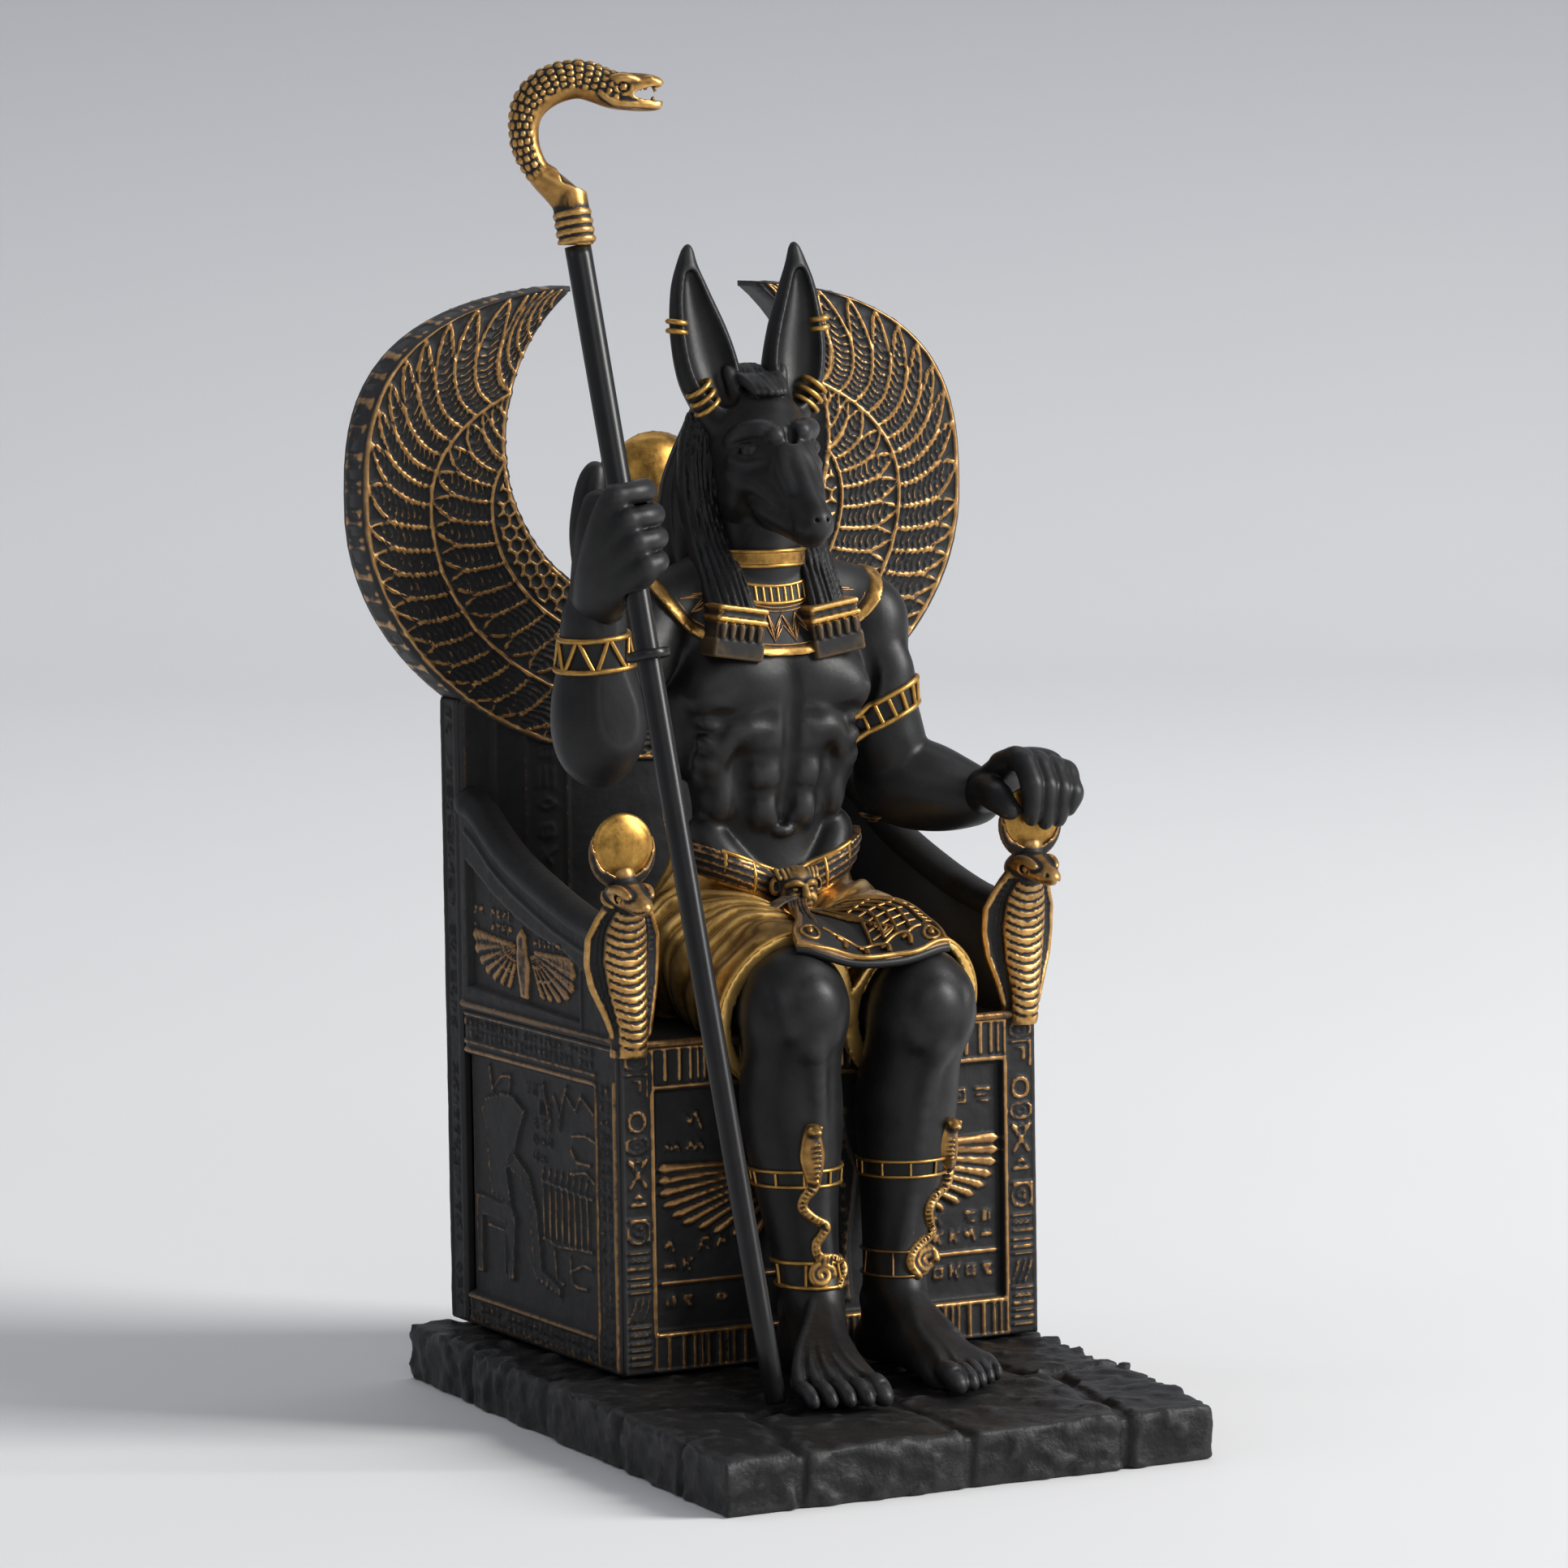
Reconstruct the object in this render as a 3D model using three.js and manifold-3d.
// Enthroned jackal-headed god: a cold-cast resin desk figure, black with painted gold.
// Millimetres, +Z up. z = 0 is the underside of the plinth, x = 0 the figure's middle plane, and it faces -Y.
import * as THREE from "three";
import { mergeVertices } from "three/addons/utils/BufferGeometryUtils.js";
import Module from "manifold-3d";

const wasm = await Module();
wasm.setup();

// Driving sizes
const GAP = 0.3;
const PLINTH_TOP = 12.2;
const PLINTH_CORNERS = [[-69.3, -84.9], [43.5, -84.9], [60, 85.8], [-60.1, 85.8]];
const SEAT = 82.4;
const THRONE_HALF = 50;
const THRONE_FRONT = -0.5;
const THRONE_BACK = 85.1;
const SLAB_THICK = 9.5;
const SLAB_TOP = 150;
const WING_X = 1.8;
const STAFF_RADIUS_TOP = 2.75;
const STAFF_RADIUS_FOOT = 2.2;
const STAFF_FOOT = new THREE.Vector3(-36.7, -44.2, PLINTH_TOP + GAP);
const STAFF_TOP = new THREE.Vector3(-55.7, 0, 249);
const BLACK = 0x1b1b1c;
const GOLD = 0xa87f38;

// Helpers: closed geometry in, solids out
const vec = (p) => new THREE.Vector3(p[0], p[1], p[2]);
const mix = (a, b, t) => a + (b - a) * t;
const alongStaff = (t) => STAFF_FOOT.clone().lerp(STAFF_TOP, t);
const staffAtHeight = (z) => alongStaff((z - STAFF_FOOT.z) / (STAFF_TOP.z - STAFF_FOOT.z));

// A manifold solid from a closed three.js geometry, with its faces turned outwards.
function solid(geometry) {
  const bare = geometry.clone();
  bare.deleteAttribute("normal");
  bare.deleteAttribute("uv");
  const merged = mergeVertices(bare, 1e-4);
  const vertProperties = new Float32Array(merged.attributes.position.array);
  const triVerts = new Uint32Array(merged.index.array);
  const made = new wasm.Manifold(new wasm.Mesh({ numProp: 3, vertProperties, triVerts }));
  if (made.volume() > 0) return made;
  for (let i = 0; i < triVerts.length; i += 3) {
    [triVerts[i + 1], triVerts[i + 2]] = [triVerts[i + 2], triVerts[i + 1]];
  }
  return new wasm.Manifold(new wasm.Mesh({ numProp: 3, vertProperties, triVerts }));
}

const join = (solids) => solids.flat(Infinity).reduce((whole, next) => whole.add(next));
const carve = (body, cutters) => cutters.flat(Infinity).reduce((left, next) => left.subtract(next), body);

function box([x0, x1], [y0, y1], [z0, z1]) {
  const geometry = new THREE.BoxGeometry(x1 - x0, y1 - y0, z1 - z0);
  return solid(geometry.translate((x0 + x1) / 2, (y0 + y1) / 2, (z0 + z1) / 2));
}

// Each shape and its twin across the middle plane: make(side) is called with -1 and then 1.
const bothSides = (make) => [make(-1), make(1)];

// A closed form through stations [x, y, z, half width, half depth], the width lying along `across`.
// A ripple draws every second corner in by that share, which gives locks or pleats.
function loft(stations, sides = 12, across = [1, 0, 0], ripple = 0) {
  const centres = stations.map(vec);
  const last = stations.length - 1;
  const geometry = new THREE.CylinderGeometry(1, 1, 1, sides, last);
  const position = geometry.attributes.position;
  const frames = centres.map((centre, i) => {
    const along = centres[Math.min(i + 1, last)].clone().sub(centres[Math.max(i - 1, 0)]).normalize();
    const wide = vec(across).addScaledVector(along, -along.dot(vec(across))).normalize();
    return { centre, wide, deep: along.clone().cross(wide) };
  });
  for (let i = 0; i < position.count; i++) {
    const row = Math.round((0.5 - position.getY(i)) * last);
    const { centre, wide, deep } = frames[row];
    const corner = Math.round(Math.atan2(position.getX(i),
      position.getZ(i)) / (2 * Math.PI) * sides + sides);
    const share = corner % 2 ? 1 - ripple : 1;
    const place = centre.clone()
      .addScaledVector(wide, position.getX(i) * stations[row][3] * share)
      .addScaledVector(deep, position.getZ(i) * stations[row][4] * share);
    position.setXYZ(i, place.x, place.y, place.z);
  }
  return solid(geometry);
}

// A round limb through [x, y, z, radius] points.
const limb = (points, sides = 10) => loft(points.map(([x, y, z, r]) => [x, y, z, r, r]), sides);

function ball([x, y, z], [rx, ry, rz], tilt = [0, 0, 0], around = 12, down = 8) {
  const geometry = new THREE.SphereGeometry(1, around, down).scale(rx, ry, rz);
  geometry.applyMatrix4(new THREE.Matrix4().makeRotationFromEuler(new THREE.Euler(...tilt)));
  return solid(geometry.translate(x, y, z));
}

// An outline extruded by `depth` in a frame whose u, v and out directions and origin are given.
function plate(outline, depth, frame, curveSegments = 6) {
  const shape = Array.isArray(outline) ? new THREE.Shape(outline.map(([u, v]) =>
    new THREE.Vector2(u, v))) : outline;
  const geometry = new THREE.ExtrudeGeometry(shape, { depth, bevelEnabled: false, curveSegments });
  return solid(geometry.applyMatrix4(frame));
}

function frameAt(origin, u, v, out) {
  return new THREE.Matrix4().makeBasis(vec(u), vec(v), vec(out)).setPosition(...origin);
}

// The frames of the throne's faces. u runs along the face, v up, out away from the throne, and the
// frame starts `sink` below the face.
const sideFace = (side, sink) =>
  frameAt([side * (THRONE_HALF - sink), 0, 0], [0, 1, 0], [0, 0, 1], [side, 0, 0]);
const frontFace = (sink) => frameAt([0, THRONE_FRONT + sink, 0], [1, 0, 0], [0, 0, 1], [0, -1, 0]);
const backFace = (sink) => frameAt([0, THRONE_BACK - sink, 0], [1, 0, 0], [0, 0, 1], [0, 1, 0]);

const oblong = ([u0, u1], [v0, v1]) => [[u0, v0], [u1, v0], [u1, v1], [u0, v1]];

// A row of short bars between two levels, on a face: the strokes of a border.
function bars(face, [from, to], [low, high], count, height, sink, fill = 0.5) {
  const step = (to - from) / count;
  return Array.from({ length: count }, (_, i) => {
    const left = from + step * (i + (1 - fill) / 2);
    return plate(oblong([left, left + step * fill], [low, high]), height + sink, face(sink));
  });
}

// A fan of feathers: thin wedges from a root to tips on an arc of an ellipse.
function fan(face, sink, height, [u, v], [reachU, reachV], [start, end], count) {
  const step = (end - start) / count;
  return Array.from({ length: count }, (_, i) => {
    const middle = start + step * (i + 0.5);
    const half = step * 0.42;
    const tip = (angle, far) => [u + reachU * far * Math.cos(angle), v + reachV * far * Math.sin(angle)];
    const outline = [tip(middle, 0.12), tip(middle - half, 0.92), tip(middle, 1), tip(middle + half, 0.92)];
    return plate(outline, height + sink, face(sink));
  });
}

// Plinth: a paved slab, sculpted a little out of square
const JOINT_DEPTH = 1.1;
const JOINT_HALF = 0.9;

// A V groove along the top of the slab and, where it meets an edge, down that edge.
function joint([x0, y0], [x1, y1]) {
  const along = new THREE.Vector3(x1 - x0, y1 - y0, 0);
  const run = along.length();
  along.normalize();
  const across = new THREE.Vector3(-along.y, along.x, 0);
  const frame = new THREE.Matrix4().makeBasis(across, new THREE.Vector3(0, 0, 1), along).setPosition(x0, y0,
    PLINTH_TOP);
  return plate([[-JOINT_HALF, 0.6], [0, -JOINT_DEPTH], [JOINT_HALF, 0.6]], run, frame);
}

function edgeNotch([x, y], inward) {
  const into = vec(inward);
  const across = new THREE.Vector3(-into.y, into.x, 0);
  const frame = new THREE.Matrix4().makeBasis(across, into, new THREE.Vector3(0, 0, 1)).setPosition(x, y,
    1.5);
  return plate([[-JOINT_HALF, -0.6], [JOINT_HALF, -0.6], [0, JOINT_DEPTH]], PLINTH_TOP, frame);
}

function plinth() {
  const slab = plate(PLINTH_CORNERS, PLINTH_TOP, new THREE.Matrix4());
  const [frontLeft, frontRight, , backLeft] = PLINTH_CORNERS;
  const frontJoints = [-52, -14, 22.3];
  const backEnds = [[-42.5, -45.7], [-11, -40], [31, -39.8]];
  const leftEdge = (y) => mix(frontLeft[0], backLeft[0], (y - frontLeft[1]) / (backLeft[1] - frontLeft[1]));
  const leftJoints = [49.9, 9.5, -30.5, -62];
  return carve(slab, [
    frontJoints.map((x, i) => joint([x, frontLeft[1] - 1], backEnds[i])),
    frontJoints.map((x) => edgeNotch([x, frontRight[1]], [0, 1, 0])),
    joint([29.1, THRONE_FRONT], [25.5, -38]),
    joint([25.5, -38], [52, -39.4]),
    joint([-42.5, -45.7], [-11, -48]),
    leftJoints.map((y) => joint([leftEdge(y) - 1, y], [leftEdge(y) + 9, y])),
    leftJoints.map((y) => edgeNotch([leftEdge(y), y], [1, 0, 0])),
  ]);
}

// Throne
const RELIEF = 0.7;
const RECESS = 1.4;
const SIDE_PANEL = { u: [10.8, 75.6], v: [20, 72.5] };
const FRONT_PANEL = { u: [-41.5, 41.5], v: [21.2, 72.5] };
const ARM_THICK = 6.4;
const ARM_FRONT = 2;
const RAIL_RADIUS = 3.2;
const RAIL = [[75, 129.8], [69, 127.4], [62, 123.2], [55, 119.8], [47, 116.9], [38, 114.1], [28, 111.3],
  [17, 108.9],
  [6, 107.6], [ARM_FRONT, 107.4]];
const ARM_PANEL = [[70, 87.6], [17.3, 85.8], [17.7, 98.4], [38.1, 103.2], [54, 107.8], [70, 114.7]];

function armrest(side) {
  const top = RAIL.map(([y, z]) => [y, z - RAIL_RADIUS]);
  const outline = [[76, SEAT - 1], [76, top[0][1]], ...top, [ARM_FRONT, SEAT - 1]];
  const wall = plate(outline, ARM_THICK, sideFace(side, ARM_THICK));
  const rail = loft(top.map(([y, z]) =>
    [side * (THRONE_HALF - ARM_THICK / 2), y, z, RAIL_RADIUS, RAIL_RADIUS]), 10);
  const panel = plate(ARM_PANEL, RECESS + 1, sideFace(side, RECESS));
  const sunk = (sink) => sideFace(side, RECESS + sink);
  const wing = [42.8, 99];
  return join([
    carve(wall.add(rail), [panel]),
    fan(sunk, 0.5, RELIEF, wing, [25, 15], [Math.PI * 1.02, Math.PI * 1.42], 4),
    fan(sunk, 0.5, RELIEF, wing, [25, 15], [Math.PI * 1.58, Math.PI * 1.98], 4),
    plate([[40, 87], [41, 97], [41.5, 102.5], [44, 102.5], [44.6, 97], [45.6, 87]], RELIEF + 1, sunk(0.5)),
  ]);
}

// The side away from the picture has the panel and mouldings only.
function sideReliefs(side) {
  const onPanel = (sink) => sideFace(side, RECESS + sink);
  const onFace = (sink) => sideFace(side, sink);
  const relief = (outline) => plate(outline, RELIEF + 0.5, onPanel(0.5));
  const seated = [[66, 52], [68.5, 62], [65, 66], [60, 65], [57, 60], [56, 50], [52, 44], [50, 43],
    [50, 26], [52.5, 26],
    [53.5, 40], [63, 43]];
  const head = [[66.5, 66.5], [66, 71], [61, 71], [58, 67.5], [62, 66.5]];
  const stool = [[71, 24], [69.5, 42.5], [58, 42], [58, 40], [66.8, 39], [68, 24]];
  const mouldings = [
    plate(oblong([9, 76], [73, 75]), 1.1, onFace(0.5)),
    plate(oblong([0.5, THRONE_BACK - 0.5], [SEAT - 1, SEAT + 1]), 1.2, onFace(0.5)),
  ];
  if (side > 0) return mouldings;
  return [
    mouldings,
    relief(seated),
    relief(head),
    relief(stool),
    relief(oblong([17, 36], [44.5, 46.5])),
    relief(oblong([25, 28], [25, 44.5])),
    bars(onPanel, [17.5, 35.5], [47.5, 62], 4, RELIEF, 0.5),
    bars(onFace, [11.5, 74.5], [76.2, 80.6], 8, 0.4, 0.5),
    bars(onFace, [11.5, 74.5], [14, 18.6], 8, 0.4, 0.5),
    bars((sink) => frameAt([side * (THRONE_HALF - sink), 6.6, 0], [0, 0, 1], [0, 1, 0], [side, 0, 0]),
      [15, 80],
      [-2.6, 2.6], 5, 0.4, 0.5),
  ];
}

function frontReliefs() {
  const onPanel = (sink) => frontFace(RECESS + sink);
  const cells = [18, 32, 46, 60, 74];
  const godBody = [[-4.5, 22], [-4, 36], [-6.5, 52], [-3, 58], [-2.6, 66], [0, 68], [2.6, 66], [3, 58],
    [6.5, 52],
    [4, 36], [4.5, 22]];
  return [
    bars(frontFace, [-41.5, 41.5], [74.4, 80.8], 11, 0.7, 0.5),
    bars(frontFace, [-41.5, 41.5], [14, 20.2], 11, 0.7, 0.5),
    plate(oblong([-THRONE_HALF, THRONE_HALF], [SEAT - 1, SEAT + 0.8]), 1.3, frontFace(0.5)),
    plate(godBody, RELIEF + 1.2, onPanel(0.5)),
    fan(onPanel, 0.5, RELIEF + 0.6, [-6, 56], [36, 20], [Math.PI, Math.PI * 1.42], 6),
    fan(onPanel, 0.5, RELIEF + 0.6, [6, 56], [36, 20], [-Math.PI * 0.42, 0], 6),
    bothSides((side) => cells.map((z, i) =>
      plate(oblong([side * 46.2 - 2.4, side * 46.2 + 2.4], [z - 3.6, z + 3.6]),
      1, frontFace(i % 2 ? 0.4 : 0.55)))),
    bothSides((side) => [28, 33.5, 39, 65].map((z) =>
      plate(oblong([side * 33 - 5, side * 33 + 5], [z - 1.2, z + 1.2]), RELIEF + 0.2, onPanel(0.5)))),
  ];
}

function throneBlock() {
  const body = join([
    box([-THRONE_HALF, THRONE_HALF], [THRONE_FRONT, THRONE_BACK], [PLINTH_TOP + GAP, SEAT]),
    box([-THRONE_HALF, THRONE_HALF], [THRONE_BACK - SLAB_THICK, THRONE_BACK], [SEAT - 1, SLAB_TOP]),
    bothSides(armrest),
  ]);
  const recesses = [
    bothSides((side) => plate(oblong(SIDE_PANEL.u, SIDE_PANEL.v), RECESS + 1, sideFace(side, RECESS))),
    plate(oblong(FRONT_PANEL.u, FRONT_PANEL.v), RECESS + 1, frontFace(RECESS)),
    plate(oblong([-41, 41], [20, 132]), 2, backFace(0.9)),
  ];
  return join([carve(body, recesses), bothSides(sideReliefs), frontReliefs()]);
}

// Wings: a crescent of feathers, open at the top
const WING_MIDDLE = 191;
const WING_OUTER = { half: 73.4, up: 48, down: 57.5 };
const WING_LINE = { half: 57.5, up: 31, down: 46 };
const WING_INNER = { middle: 204, half: 39, up: 41.4, down: 37.5 };
const COVERT_LINE = { half: 43, up: 22, down: 33 };
const WING_FRONT = 75;
const TIP_X = 23;

// A point on the crescent's edge lines. The angle runs from 0, straight right, anticlockwise.
function rimPoint({ half, up, down }, angle, power = 2.9) {
  const sharpen = angle > 0 && angle < Math.PI ? 2 / power : 1;
  const reach = (value) => Math.sign(value) * Math.abs(value) ** sharpen;
  return [half * reach(Math.cos(angle)),
    WING_MIDDLE + (angle < Math.PI ? up : down) * reach(Math.sin(angle))];
}

function innerPoint(angle) {
  const { middle, half, up, down } = WING_INNER;
  return [half * Math.cos(angle), middle + (Math.sin(angle) > 0 ? up : down) * Math.sin(angle)];
}

const wingFace = (sink) => frameAt([WING_X, WING_FRONT + sink, 0], [1, 0, 0], [0, 0, 1], [0, -1, 0]);

function crescent(thick = THRONE_BACK - WING_FRONT, front = WING_FRONT, edge = 0) {
  const outerLine = { ...WING_OUTER, half: WING_OUTER.half - edge };
  const tipOuter = Math.acos((TIP_X / outerLine.half) ** (2.9 / 2));
  const tipInner = Math.acos(TIP_X / WING_INNER.half);
  const outer = Array.from({ length: 33 }, (_, i) => mix(tipOuter, -Math.PI - tipOuter, i / 32))
    .map((angle) => rimPoint(outerLine, (angle + 2 * Math.PI) % (2 * Math.PI)));
  const inner = Array.from({ length: 19 }, (_, i) =>
    innerPoint(mix(-Math.PI - tipInner, tipInner, i / 18)));
  return plate([...outer, ...inner], thick, frameAt([WING_X, front, 0], [1, 0, 0], [0, 0, 1], [0, 1, 0]));
}

// One raised feather from a root to a tip, bowed a little, on either wing.
function feather(root, tip, width, height) {
  const along = new THREE.Vector2(tip[0] - root[0], tip[1] - root[1]);
  const run = along.length();
  along.normalize();
  const at = (far, side) => [root[0] + along.x * run * far - along.y * width * side,
    root[1] + along.y * run * far + along.x * width * side];
  return plate([at(0, 0), at(0.7, -0.42), at(1, 0), at(0.7, 0.42)], height + 0.5, wingFace(0.5));
}

// A ring of feathers between two edge lines, leaning towards the crescent's tips near the top.
function feathers(side, rootLine, tipLine, [start, end], count, lean, height) {
  return Array.from({ length: count }, (_, i) => {
    const angle = mix(start, end, (i + 0.5) / count) * Math.PI;
    const swept = angle + lean * Math.max(0, Math.sin(angle)) ** 1.5;
    const root = rimPoint(rootLine, (angle + 2 * Math.PI) % (2 * Math.PI), 2.2);
    const tip = rimPoint(tipLine, (swept + 2 * Math.PI) % (2 * Math.PI));
    const width = (end - start) * Math.PI * tipLine.half / count;
    return feather([side * root[0], root[1]], [side * tip[0] * 0.975, mix(WING_MIDDLE, tip[1], 0.965)],
      width, height);
  });
}

function crown(centre, radius, thick, hornRadius, drop, hornTop) {
  const profile = [[0, -0.5], [0.86, -0.5], [1, 0], [0.86, 0.5], [0, 0.5]];
  const disc = (r, depth) =>
    new THREE.LatheGeometry(profile.map(([u, v]) => new THREE.Vector2(u * r, v * depth)), 14)
    .translate(...centre);
  const horns = solid(disc(hornRadius, thick * 0.86).translate(0, 0, -drop));
  const above = box([centre[0] - 40, centre[0] + 40], [centre[1] - 20, centre[1] + 20],
    [centre[2] + hornTop, centre[2] + 60]);
  return join([carve(horns, [above]), solid(disc(radius, thick))]);
}

// Cobra newels, each with a crowned disc
const DISC = { x: 48.6, y: -1.6, z: 124.5, radius: 6.5, thick: 3.6, horns: 7.7 };

function cobra(side) {
  const x = side * 47.3;
  const hood = loft([[side * 46.6, 1, SEAT - 1, 4.2, 3.2], [side * 46.6, 0.6, 85, 4.2, 3.1],
    [side * 46.8, 1.4, 89, 5.4, 2.9], [x, 3.6, 95, 7.6, 2.7], [x, 4.4, 100, 7.9, 2.7],
      [x, 3.6, 105, 6.6, 3],
    [x, 1.4, 109.5, 4.4, 3.4], [x, -1, 113, 3.2, 3]], 8);
  const head = loft([[side * 47.8, 3.6, 113.2, 2.6, 2.4], [side * 48, -1, 114, 4, 2.9],
    [side * 48.2, -5.8, 113.4, 3.8, 2.6], [side * 48.5, -9.8, 112.5, 2.6, 1.9],
      [side * 48.6, -12, 112.2, 1.2, 1]], 6);
  const ribs = Array.from({ length: 5 }, (_, i) => {
    const z = mix(86, 106, i / 4);
    const swell = Math.sin((z - 82) / 28 * Math.PI);
    return box([x - 2.2 - swell, x + 2.2 + swell], [mix(-3, 0.9, swell), 3], [z - 0.8, z + 0.8]);
  });
  return [hood, head, ribs, loft([[side * DISC.x, DISC.y, 112, 2, 2], [side * DISC.x, DISC.y, 119, 2.4, 2]],
    8),
    crown([side * DISC.x, DISC.y, DISC.z], DISC.radius, DISC.thick, DISC.horns, 1.3, 2)];
}

function throne() {
  const feathersOn = (side) => [
    feathers(side, WING_LINE, WING_OUTER, [-0.44, 0.38], 14, 0.28, RELIEF),
    feathers(side, COVERT_LINE, WING_LINE, [-0.4, 0.32], 8, 0.26, RELIEF),
  ];
  const seatOfOrb = loft([[0, 79, 164.5, 9, 4.5], [0, 79, 176, 6, 4]], 12);
  const vane = crescent(RELIEF + 0.5, WING_FRONT - RELIEF, 1);
  const top = crescent().add(join(bothSides(feathersOn)).intersect(vane));
  return join([throneBlock(), top, seatOfOrb, crown([0.4, 79, 193.8], 12, 9, 16.5, 4.5, 2.5),
    bothSides(cobra)]);
}

// Figure: a seated man's body with a jackal's head, one hand on the staff and one on the left disc

// Torso and neck, [y, z, half width, half depth] from the hips up
const TORSO = [[33, 88, 24, 16], [32, 108, 20, 13.5], [31, 118, 17.2, 11.5], [30.5, 127, 17, 11.2],
  [30, 138, 19, 12.2], [29.5, 148, 22.4, 13.6], [30, 157, 25.4, 14], [31, 165, 26, 12.4],
    [31, 171, 18.6, 10.6],
  [30.5, 176, 10.6, 9], [28.5, 192, 8.8, 8.6]];

// A stretch of the torso between two heights, swollen by `extra` for something worn on it.
function torso(extra = 0, [low, high] = [0, 300]) {
  const rings = TORSO.filter(([, z]) => z > low && z < high);
  return loft(rings.map(([y, z, w, d]) => [0, y, z, w + extra, d + extra]), 12);
}

const shoulder = (extra) => (side) =>
  ball([side * 26.5, 30.5, 167], [8.6 + extra, 8.6 + extra, 9 + extra], [0, 0, 0], 8, 6);

const breast = (side) => ball([side * 10.6, 21.3, 153.5], [10.6, 6.4, 6.8], [0, 0, side * 0.12], 8, 6);

// The staff's line, as a rod between two shares of its length.
function staffCore(radius, from, to) {
  const low = alongStaff(from);
  const high = alongStaff(to);
  return loft([[low.x, low.y, low.z, radius, radius], [high.x, high.y, high.z, radius, radius]], 10);
}

function rightArm() {
  const upper = limb([[-27, 30, 166, 8.4], [-35, 25, 156.5, 8.2], [-43, 17, 148.4, 7.8],
    [-48, 10, 144, 6.6]], 8);
  const fore = limb([[-48.4, 9.4, 137, 3.6], [-48.6, 9, 139.8, 6.8], [-49, 8, 144.5, 8.6],
    [-49.4, 6.8, 150, 9.1],
    [-50.4, 5.6, 160.6, 7.4], [-50.6, 5.6, 161.2, 8], [-51.3, 5, 168.2, 7.3], [-51.4, 4.8, 168.8, 6],
      [-51.5, 4, 172, 5.8]], 8);
  const palm = loft([[-51.2, 4, 170, 5.2, 5.8], [-50.8, 2, 176, 5, 6.8], [-50.8, 0, 184, 4.4, 7.6],
    [-50.8, -0.8, 191, 4, 7.2], [-50.8, -1.6, 196.6, 3, 5.4]], 8);
  const fingers = [180.8, 186, 191.2, 196.4].map((z) => {
    const { x, y } = staffAtHeight(z);
    return limb([[x - 4, y + 6, z + 1, 2.9], [x - 5, y - 1.4, z + 0.4, 2.9], [x - 1.4, y - 6, z, 2.8],
      [x + 4, y - 4.4, z - 0.4, 2.7], [x + 5.4, y + 0.6, z - 0.6, 2.3]], 6);
  });
  const thumb = limb([[-50.6, 5, 178, 3.4], [-52, 5, 190, 3.6], [-52.2, 3.6, 197, 3.3],
    [-52, 2.6, 200.4, 2]], 6);
  return [upper, fore, palm, fingers, thumb];
}

function leftArm() {
  const upper = limb([[26.2, 30.6, 166, 8.4], [26.4, 29.6, 154, 8.3], [29, 28.4, 143, 8.1],
    [32.4, 28.4, 133, 7.4]], 8);
  const fore = limb([[30.4, 29.6, 130.6, 6.8], [33.6, 27.6, 130.6, 8.6], [37.4, 25, 129.8, 8.8],
    [41.8, 21.4, 128.4, 7.4],
    [46.6, 17.6, 127.2, 5.2]], 8);
  const palm = loft([[46, 18, 127.2, 5, 4.6], [47.8, 12, 130.6, 5.4, 3.8], [49.6, 5.6, 134.6, 6.6, 3.2],
    [51.2, 0, 136.8, 7.4, 2.6]], 8);
  const tips = [[46.4, 46, 124.2], [50.4, 49.6, 123.2], [54, 52.6, 123.8], [57, 55, 126]];
  const fingers = tips.map(([x, tipX, tipZ], i) => limb([[x, -1.6, 137 - i * 1.3, 2.6],
    [mix(x, tipX, 0.6), -6.2, 132 - i * 0.8, 2.3], [tipX, -6.6, tipZ + 1.4, 1.8],
      [tipX, -6.4, tipZ - 0.4, 1]], 5));
  const thumb = limb([[45.4, 14, 128, 3.6], [43, 7, 130, 3.3], [41.8, 0.4, 129, 2.8],
    [42.4, -4, 126.6, 1.9]], 6);
  const tilt = vec([-0.42, 0.1, 0.9]);
  const cuff = loft([-1.9, 1.9].map((far) => {
    const middle = vec([28.6, 28.4, 147.6]).addScaledVector(tilt, far);
    return [middle.x, middle.y, middle.z, 10, 9.4];
  }), 10);
  return [upper, fore, palm, fingers, thumb, cuff];
}

// Head, ears and striped wig
function head() {
  const skull = ball([0, 28.6, 205.6], [11.4, 12.6, 12.8], [0, 0, 0], 10, 6);
  const muzzle = loft([[0, 32, 204.6, 10.8, 10.8], [0, 24, 202.8, 10.6, 10.2], [0, 18.6, 200.2, 8.4, 7.8],
    [0, 13.4, 196, 6, 6],
    [0, 8.6, 191.8, 4.7, 4.9], [0, 4.4, 188.8, 3.7, 4], [0, 1.6, 187.4, 2.4, 2.6]], 8);
  const brow = (side) => ball([side * 5, 17.6, 208], [3.6, 2.8, 2], [0, 0, side * 0.5], 6, 4);
  const eye = (side) => ball([side * 6.5, 18.2, 205], [2.1, 1.5, 1.3], [0, 0, side * -0.7], 6, 4);
  const ear = (side) => {
    const shell = loft([[side * 8, 30.6, 212, 4.6, 4.2], [side * 9.2, 31, 217, 6, 4],
      [side * 11, 32, 224, 6.3, 3.4],
      [side * 12.2, 33.2, 231, 5.5, 2.8], [side * 13.1, 34.4, 238.6, 3.5, 2.1],
        [side * 12.9, 35, 246.4, 0.7, 0.7]], 8);
    const hollow = loft([[side * 8.6, 26.4, 216, 2.6, 2.6], [side * 9.8, 27.2, 221, 4.4, 3],
      [side * 11.2, 29, 227, 4.4, 2.6],
      [side * 12.4, 31, 234, 3, 1.9], [side * 13, 32.6, 241, 1, 0.9]], 4);
    return carve(shell, [hollow]);
  };
  return [skull, muzzle, bothSides(brow), bothSides(eye), bothSides(ear)];
}

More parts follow.
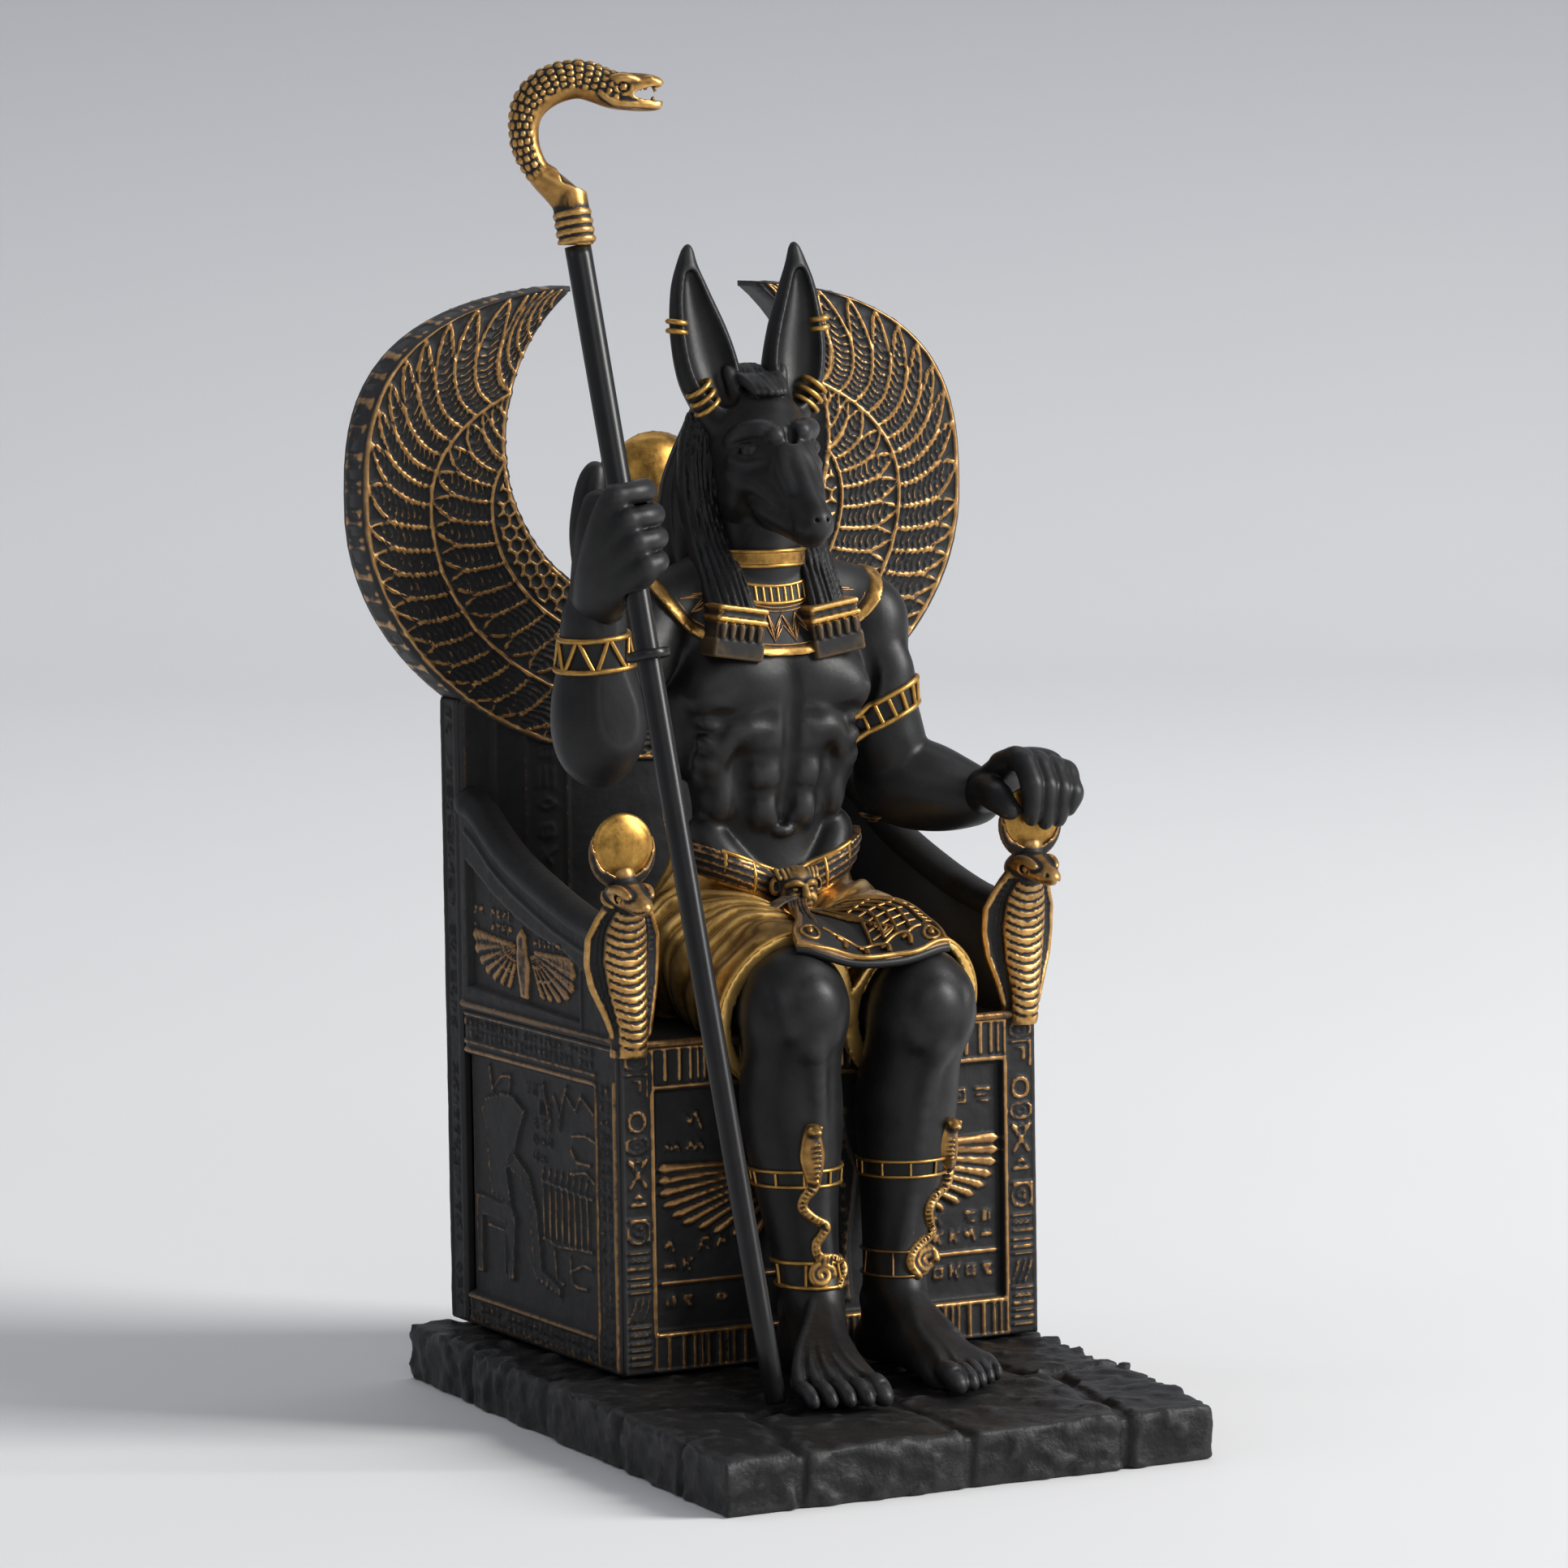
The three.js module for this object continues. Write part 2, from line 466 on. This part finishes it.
function wig() {
  const mass = loft([[0, 33, 217, 7, 5.6], [0, 34.4, 212, 11.6, 9.2], [0, 36, 204, 15.4, 11.4],
    [0, 37, 196, 19.8, 12],
    [0, 37.4, 188, 21, 10.8], [0, 38, 179, 19.8, 8.8], [0, 39.4, 168, 16.4, 5.8]], 20, [1, 0, 0], 0.07);
  const lappet = (side) => loft([[side * 13.6, 29, 208, 3.4, 2.4], [side * 16.2, 26.6, 195, 4.6, 3.2],
    [side * 13.6, 24.8, 184, 5.2, 3.2], [side * 11.8, 22.4, 177, 5.6, 3.2], [side * 11.4, 18.4, 166.6, 5.8,
      3]], 14,
  [1, side * 0.4, 0], 0.16);
  const slant = (side) => new THREE.Matrix4().makeRotationY(side * 0.16).setPosition(side * 11.4, 0, 166);
  const end = (side) => solid(new THREE.BoxGeometry(11, 9, 5.2).translate(0, 19.6,
    -2.6).applyMatrix4(slant(side)));
  const bar = (side) => solid(new THREE.BoxGeometry(11.8, 9, 3).translate(0, 19.2,
    3.4).applyMatrix4(slant(side)));
  return [mass, bothSides(lappet), bothSides(end), bothSides(bar)];
}

// Worn on the body: collar, neck band, belt and buckle
function ellipse([u, v], [halfU, halfV]) {
  return new THREE.Shape().absellipse(u, v, halfU, halfV, 0, 2 * Math.PI);
}

function jewellery() {
  const throughBody = frameAt([0, 60, 0], [1, 0, 0], [0, 0, 1], [0, -1, 0]);
  const shoulders = torso(1.3, [144, 180]).add(join(bothSides(shoulder(1.3))));
  const collar = shoulders.intersect(plate(ellipse([0, 179], [28, 18.6]), 60, throughBody, 6));
  const neckBand = loft([[0, 28.2, 176.6, 10.2, 9.8], [0, 28.2, 179.4, 10.2, 9.8]], 12);
  const beltOutline = [[-30, 127], [0, 113.6], [30, 127], [30, 120.6], [0, 106.6], [-30, 120.6]];
  const belt = torso(1.5, [100, 130]).intersect(plate(beltOutline, 60, throughBody));
  return [collar, neckBand, belt, ball([0, 16.2, 110.6], [4, 3.4, 4.6], [0, 0, 0], 8, 6)];
}

// Kilt over both thighs, its folds running round them, the apron and the sash
const KILT_FOLD = 0.9;

function kilt() {
  const hips = loft([[0, 34, SEAT + GAP, 27, 17], [0, 34, 92, 27.4, 18], [0, 33, 102, 26, 16.6],
    [0, 32, 111, 21.6, 14.6],
    [0, 31.4, 118, 18.6, 12.8]], 12);
  const thigh = (side) => {
    const rings = Array.from({ length: 8 }, (_, i) => {
      const t = i / 7;
      const fold = i % 2 ? KILT_FOLD : 0;
      return [side * (14 + 1.1 * t), mix(33, -9, t), 97.4 - 9.4 * t ** 2.4, 14.6 - 0.6 * t + fold,
        13.6 + 3.4 * t ** 3 + fold];
    });
    const mouth = [[side * 15, 2, 92, 11.4, 12.4], [side * 15.1, -9.6, 87.8, 12.4, 15.4],
      [side * 15.1, -16, 85.6, 12.4, 15.4]];
    return carve(loft(rings, 12), [loft(mouth, 8)]);
  };
  const apronStations = [[-16.9, -17.4, 100.6, 1.2, 1], [-11, -12.6, 102, 6.6, 2.6],
    [-5, -6.6, 101.6, 12.2, 3.6],
    [5, -6.6, 101.6, 12.2, 3.6], [11, -12.6, 102, 6.6, 2.6], [16.9, -17.4, 100.6, 1.2, 1]];
  const apron = loft(apronStations, 6, [0, -0.95, -0.32]);
  const hem = [[-17, -17.8, 99.6], [-11, -18.6, 98], [0, -18.9, 96.8], [11, -18.6, 98], [17, -17.8, 99.6]];
  const hemRoll = limb(hem.map((p) => [...p, 1.5]), 5);
  const sash = [limb([[-1, 11, 110.6, 1.8], [-5, 2, 108.8, 1.8], [-14, -7, 107.2, 2]], 5),
    limb([[-1, 10, 109.4, 1.8], [-2.4, 0, 106.6, 1.8], [-6, -12, 104, 2]], 5)];
  return [hips, bothSides(thigh), apron, hemRoll, sash];
}

// Legs, feet and the snakes worn on the shins
const LEGS = [
  { side: -1, knee: [-14.8, -14, 90], calf: [-14.6, -11, 70], shin: [-14, -11.4, 50],
    ankle: [-12.6, -14, 29],
    heel: [-12.4, -9.4, 17], instep: [-17.6, -31, 20.4, 8.6], sole: [-23, -45, 16.8, 9.6],
      toe: [-25.4, -54.4],
    spread: 3.9, lead: -0.9 },
  { side: 1, knee: [14.4, -14, 90], calf: [13, -10.6, 70], shin: [10.4, -11.4, 50], ankle: [7, -14, 29],
    heel: [7, -9.4, 17], instep: [5.4, -30, 20.4, 7.4], sole: [7.4, -42.4, 16.8, 8.2], toe: [8, -51.4],
    spread: 3.2, lead: -2.3 },
];

function leg({ side, knee, calf, shin, ankle, heel, instep, sole, toe, spread, lead }) {
  const thigh = limb([[knee[0], 0, 93.6, 11], [knee[0], -16, 90.4, 9.8]], 8);
  const bandX = mix(calf[0], shin[0], 0.75);
  const shank = loft([[knee[0], knee[1] - 1, 101.6, 5, 5], [knee[0], knee[1] - 1.6, 98, 9, 9],
    [...knee, 11.4, 10.8], [mix(knee[0], calf[0], 0.5), -12.2, 80.6, 9.2, 9.4], [...calf, 9.8, 9.4],
    [bandX, -11.1, 56.6, 8.9, 8.9], [bandX, -11.2, 56, 9.8, 9.8], [bandX, -11.3, 49.6, 8.9, 9],
    [bandX, -11.4, 49, 7.8, 8], [mix(shin[0], ankle[0], 0.6), -12.8, 38.2, 6.6, 6.9],
    [ankle[0] + 0.4, -13.2, 37.6, 7.6, 7.8], [ankle[0] + 0.2, -13.6, 30.8, 7.4, 7.7], [...ankle, 6.4, 6.8],
    [ankle[0], -13.4, 21, 6.6, 7.6]], 10);
  const foot = loft([[heel[0], heel[1] + 3.4, 17, 3, 3.4], [heel[0], heel[1], 18, 5.8, 5.4],
    [mix(ankle[0], instep[0], 0.3), -19, 20.8, 6.6, 7.8], [...instep.slice(0, 3), instep[3], 6],
    [...sole.slice(0, 3), sole[3], 3.9], [toe[0], toe[1] + 5, 15.2, sole[3] * 0.92, 2.6]], 10);
  const toes = Array.from({ length: 5 }, (_, i) => {
    const x = toe[0] + side * (i - 2) * spread;
    const radius = i ? 2.1 - i * 0.14 : 2.8;
    const tip = toe[1] - lead * Math.abs(i - 0.6) - 2.4;
    return limb([[mix(x, sole[0], 0.2), tip + 7, 16, radius], [x, tip, 15.2, radius * 0.86]], 5);
  });
  const snake = limb([[0, 64, 2.2], [0, 58, 2.6], [-2.2, 51, 1.5], [2.4, 43, 1.3], [0, 37.4, 1.2],
    [2.4, 34, 2]]
    .map(([u, z, r]) => {
      const t = (z - ankle[2]) / (calf[2] - ankle[2]);
      return [mix(ankle[0], calf[0], t) - side * 0.6 + u, mix(-21, -20, t) + 0.4, z, r];
    }), 5);
  const belowTop = box([-60, 60], [-90, 40], [0, PLINTH_TOP + GAP]);
  return carve(join([thigh, shank, foot, toes, snake]), [belowTop]);
}

function figure() {
  const throneClear = [
    box([-60, 60], [THRONE_FRONT - 1.2, 90], [0, SEAT + GAP + 1]),
    box([-60, 60], [THRONE_FRONT, 90], [0, SEAT + 1.3]),
  ];
  const grip = staffCore(STAFF_RADIUS_TOP + GAP, 0.6, 0.88);
  const body = join([torso(), bothSides(shoulder(0)), bothSides(breast), head(), wig(), jewellery(), kilt(),
    rightArm(), leftArm(), LEGS.map(leg)]);
  const around = (radius, depth, drop) =>
    solid(new THREE.CylinderGeometry(radius + GAP, radius + GAP, depth + 2 * GAP, 16)
    .translate(DISC.x, DISC.y, DISC.z - drop));
  return carve(body, [throneClear, grip, around(DISC.horns, DISC.thick * 0.86, 1.3),
    around(DISC.radius, DISC.thick, 0)]);
}

// Staff: shaft, washer, and the gilded snake hook on its ringed ferrule
const FERRULE_FOOT = 248.7;
const HOOK_BASE = 256.4;
const HOOK_TURN = THREE.MathUtils.degToRad(20);
const HOOK_ALONG = [Math.cos(HOOK_TURN), -Math.sin(HOOK_TURN), 0];
const HOOK_ACROSS = [Math.sin(HOOK_TURN), Math.cos(HOOK_TURN), 0];

function staffShaft() {
  const low = alongStaff(0);
  const high = staffAtHeight(FERRULE_FOOT - GAP);
  const rod = loft([[low.x, low.y, low.z - 1, STAFF_RADIUS_FOOT, STAFF_RADIUS_FOOT],
    [high.x, high.y, high.z, STAFF_RADIUS_TOP, STAFF_RADIUS_TOP]], 16);
  return carve(rod, [box([-60, 0], [-60, 0], [0, PLINTH_TOP + GAP])]);
}

function staffWasher() {
  const middle = 0.645;
  const half = 1 / STAFF_TOP.distanceTo(STAFF_FOOT);
  return carve(staffCore(4.6, middle - half, middle + half), [staffCore(STAFF_RADIUS_TOP + GAP, 0.6, 0.7)]);
}

// The hook lies in an upright plane through the staff's top. Its stations are
// [along the plane, height, half thickness in the plane, half thickness across it].
function staffHead() {
  const base = staffAtHeight(HOOK_BASE);
  const place = ([u, z, inPlane, across]) =>
    [base.x + u * HOOK_ALONG[0], base.y + u * HOOK_ALONG[1], z, across, inPlane];
  const rings = Array.from({ length: 8 }, (_, i) => {
    const { x, y, z } = staffAtHeight(FERRULE_FOOT + i);
    return [x, y, z, i % 2 ? 4.1 : 3.5];
  });
  const socket = [[0, 255.4, 3.6, 3.6], [0, 257.4, 3.9, 3.7], [-0.3, 258.4, 4.3, 3.9],
    [-0.9, 259.7, 4.5, 4]];
  const neck = [[-2, 258.6, 2.4, 2.4], [-5.7, 262.4, 2, 2.2], [-7.6, 265, 2.3, 2.3],
    [-9.2, 268.8, 2.7, 2.4],
    [-9.4, 274.4, 3, 2.4], [-8.3, 277.4, 3.5, 2.4], [-6.2, 279.8, 3.9, 2.4], [-2.7, 281.8, 4, 2.5],
      [1.8, 282.5, 3.9, 2.6],
    [5.3, 281.5, 3.8, 3], [9.1, 279.9, 3.6, 3.5], [13, 279.6, 3.8, 3.4], [16.8, 279.5, 3.7, 2.6],
      [18.2, 279, 2.7, 1.6]];
  const mouth = [[12.6, 279.2], [20, 277.4], [20, 281]];
  const through = frameAt([base.x + 6 * HOOK_ACROSS[0], base.y + 6 * HOOK_ACROSS[1], 0], HOOK_ALONG,
    [0, 0, 1],
    HOOK_ACROSS.map((value) => -value));
  const hook = carve(loft(neck.map(place), 8, HOOK_ACROSS), [plate(mouth, 12, through)]);
  return join([limb(rings, 10), loft(socket.map(place), 10, HOOK_ACROSS), hook]);
}

// The whole object
const model = new THREE.Group();

function addPiece(name, body, color, roughness, metalness) {
  const mesh = body.getMesh();
  const geometry = new THREE.BufferGeometry();
  geometry.setAttribute("position", new THREE.BufferAttribute(mesh.vertProperties, 3));
  geometry.setIndex(new THREE.BufferAttribute(mesh.triVerts, 1));
  const piece = new THREE.Mesh(geometry, new THREE.MeshStandardMaterial({ color, roughness, metalness }));
  piece.name = name;
  model.add(piece);
  return piece;
}

addPiece("plinth", plinth(), BLACK, 0.6, 0);
addPiece("throne", throne(), BLACK, 0.7, 0);
addPiece("figure", figure(), BLACK, 0.7, 0);
addPiece("staff_shaft", staffShaft(), BLACK, 0.25, 0);
addPiece("staff_washer", staffWasher(), BLACK, 0.6, 0);
addPiece("staff_head", staffHead(), GOLD, 0.4, 0.6);

export default model;
